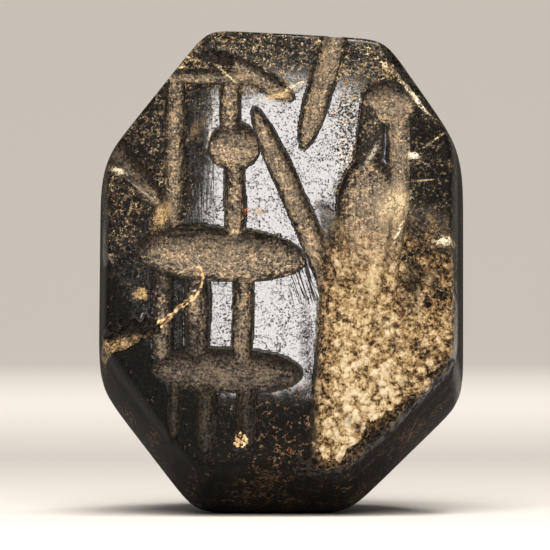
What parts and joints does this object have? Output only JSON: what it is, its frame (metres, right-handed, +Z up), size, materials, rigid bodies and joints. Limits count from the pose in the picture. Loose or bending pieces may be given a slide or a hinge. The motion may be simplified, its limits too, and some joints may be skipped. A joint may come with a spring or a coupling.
{
  "type": "stamp seal",
  "caption": "Faceted dark stone stamp seal with a domed, engraved face, a rounded back and a cord hole drilled across it, lying on its side.",
  "frame": {"origin": "on the surface that the seal lies on, under the middle of its bounding box", "axes": "+Z up, +Y from the engraved face towards the rounded back, +X to the right as the face is looked at"},
  "size_m": [0.016, 0.026, 0.0213],
  "materials": {
    "stone": "polished, mottled black and tan"
  },
  "bodies": {
    "root": {"seal_stone": "stone"}
  },
  "joints": []
}
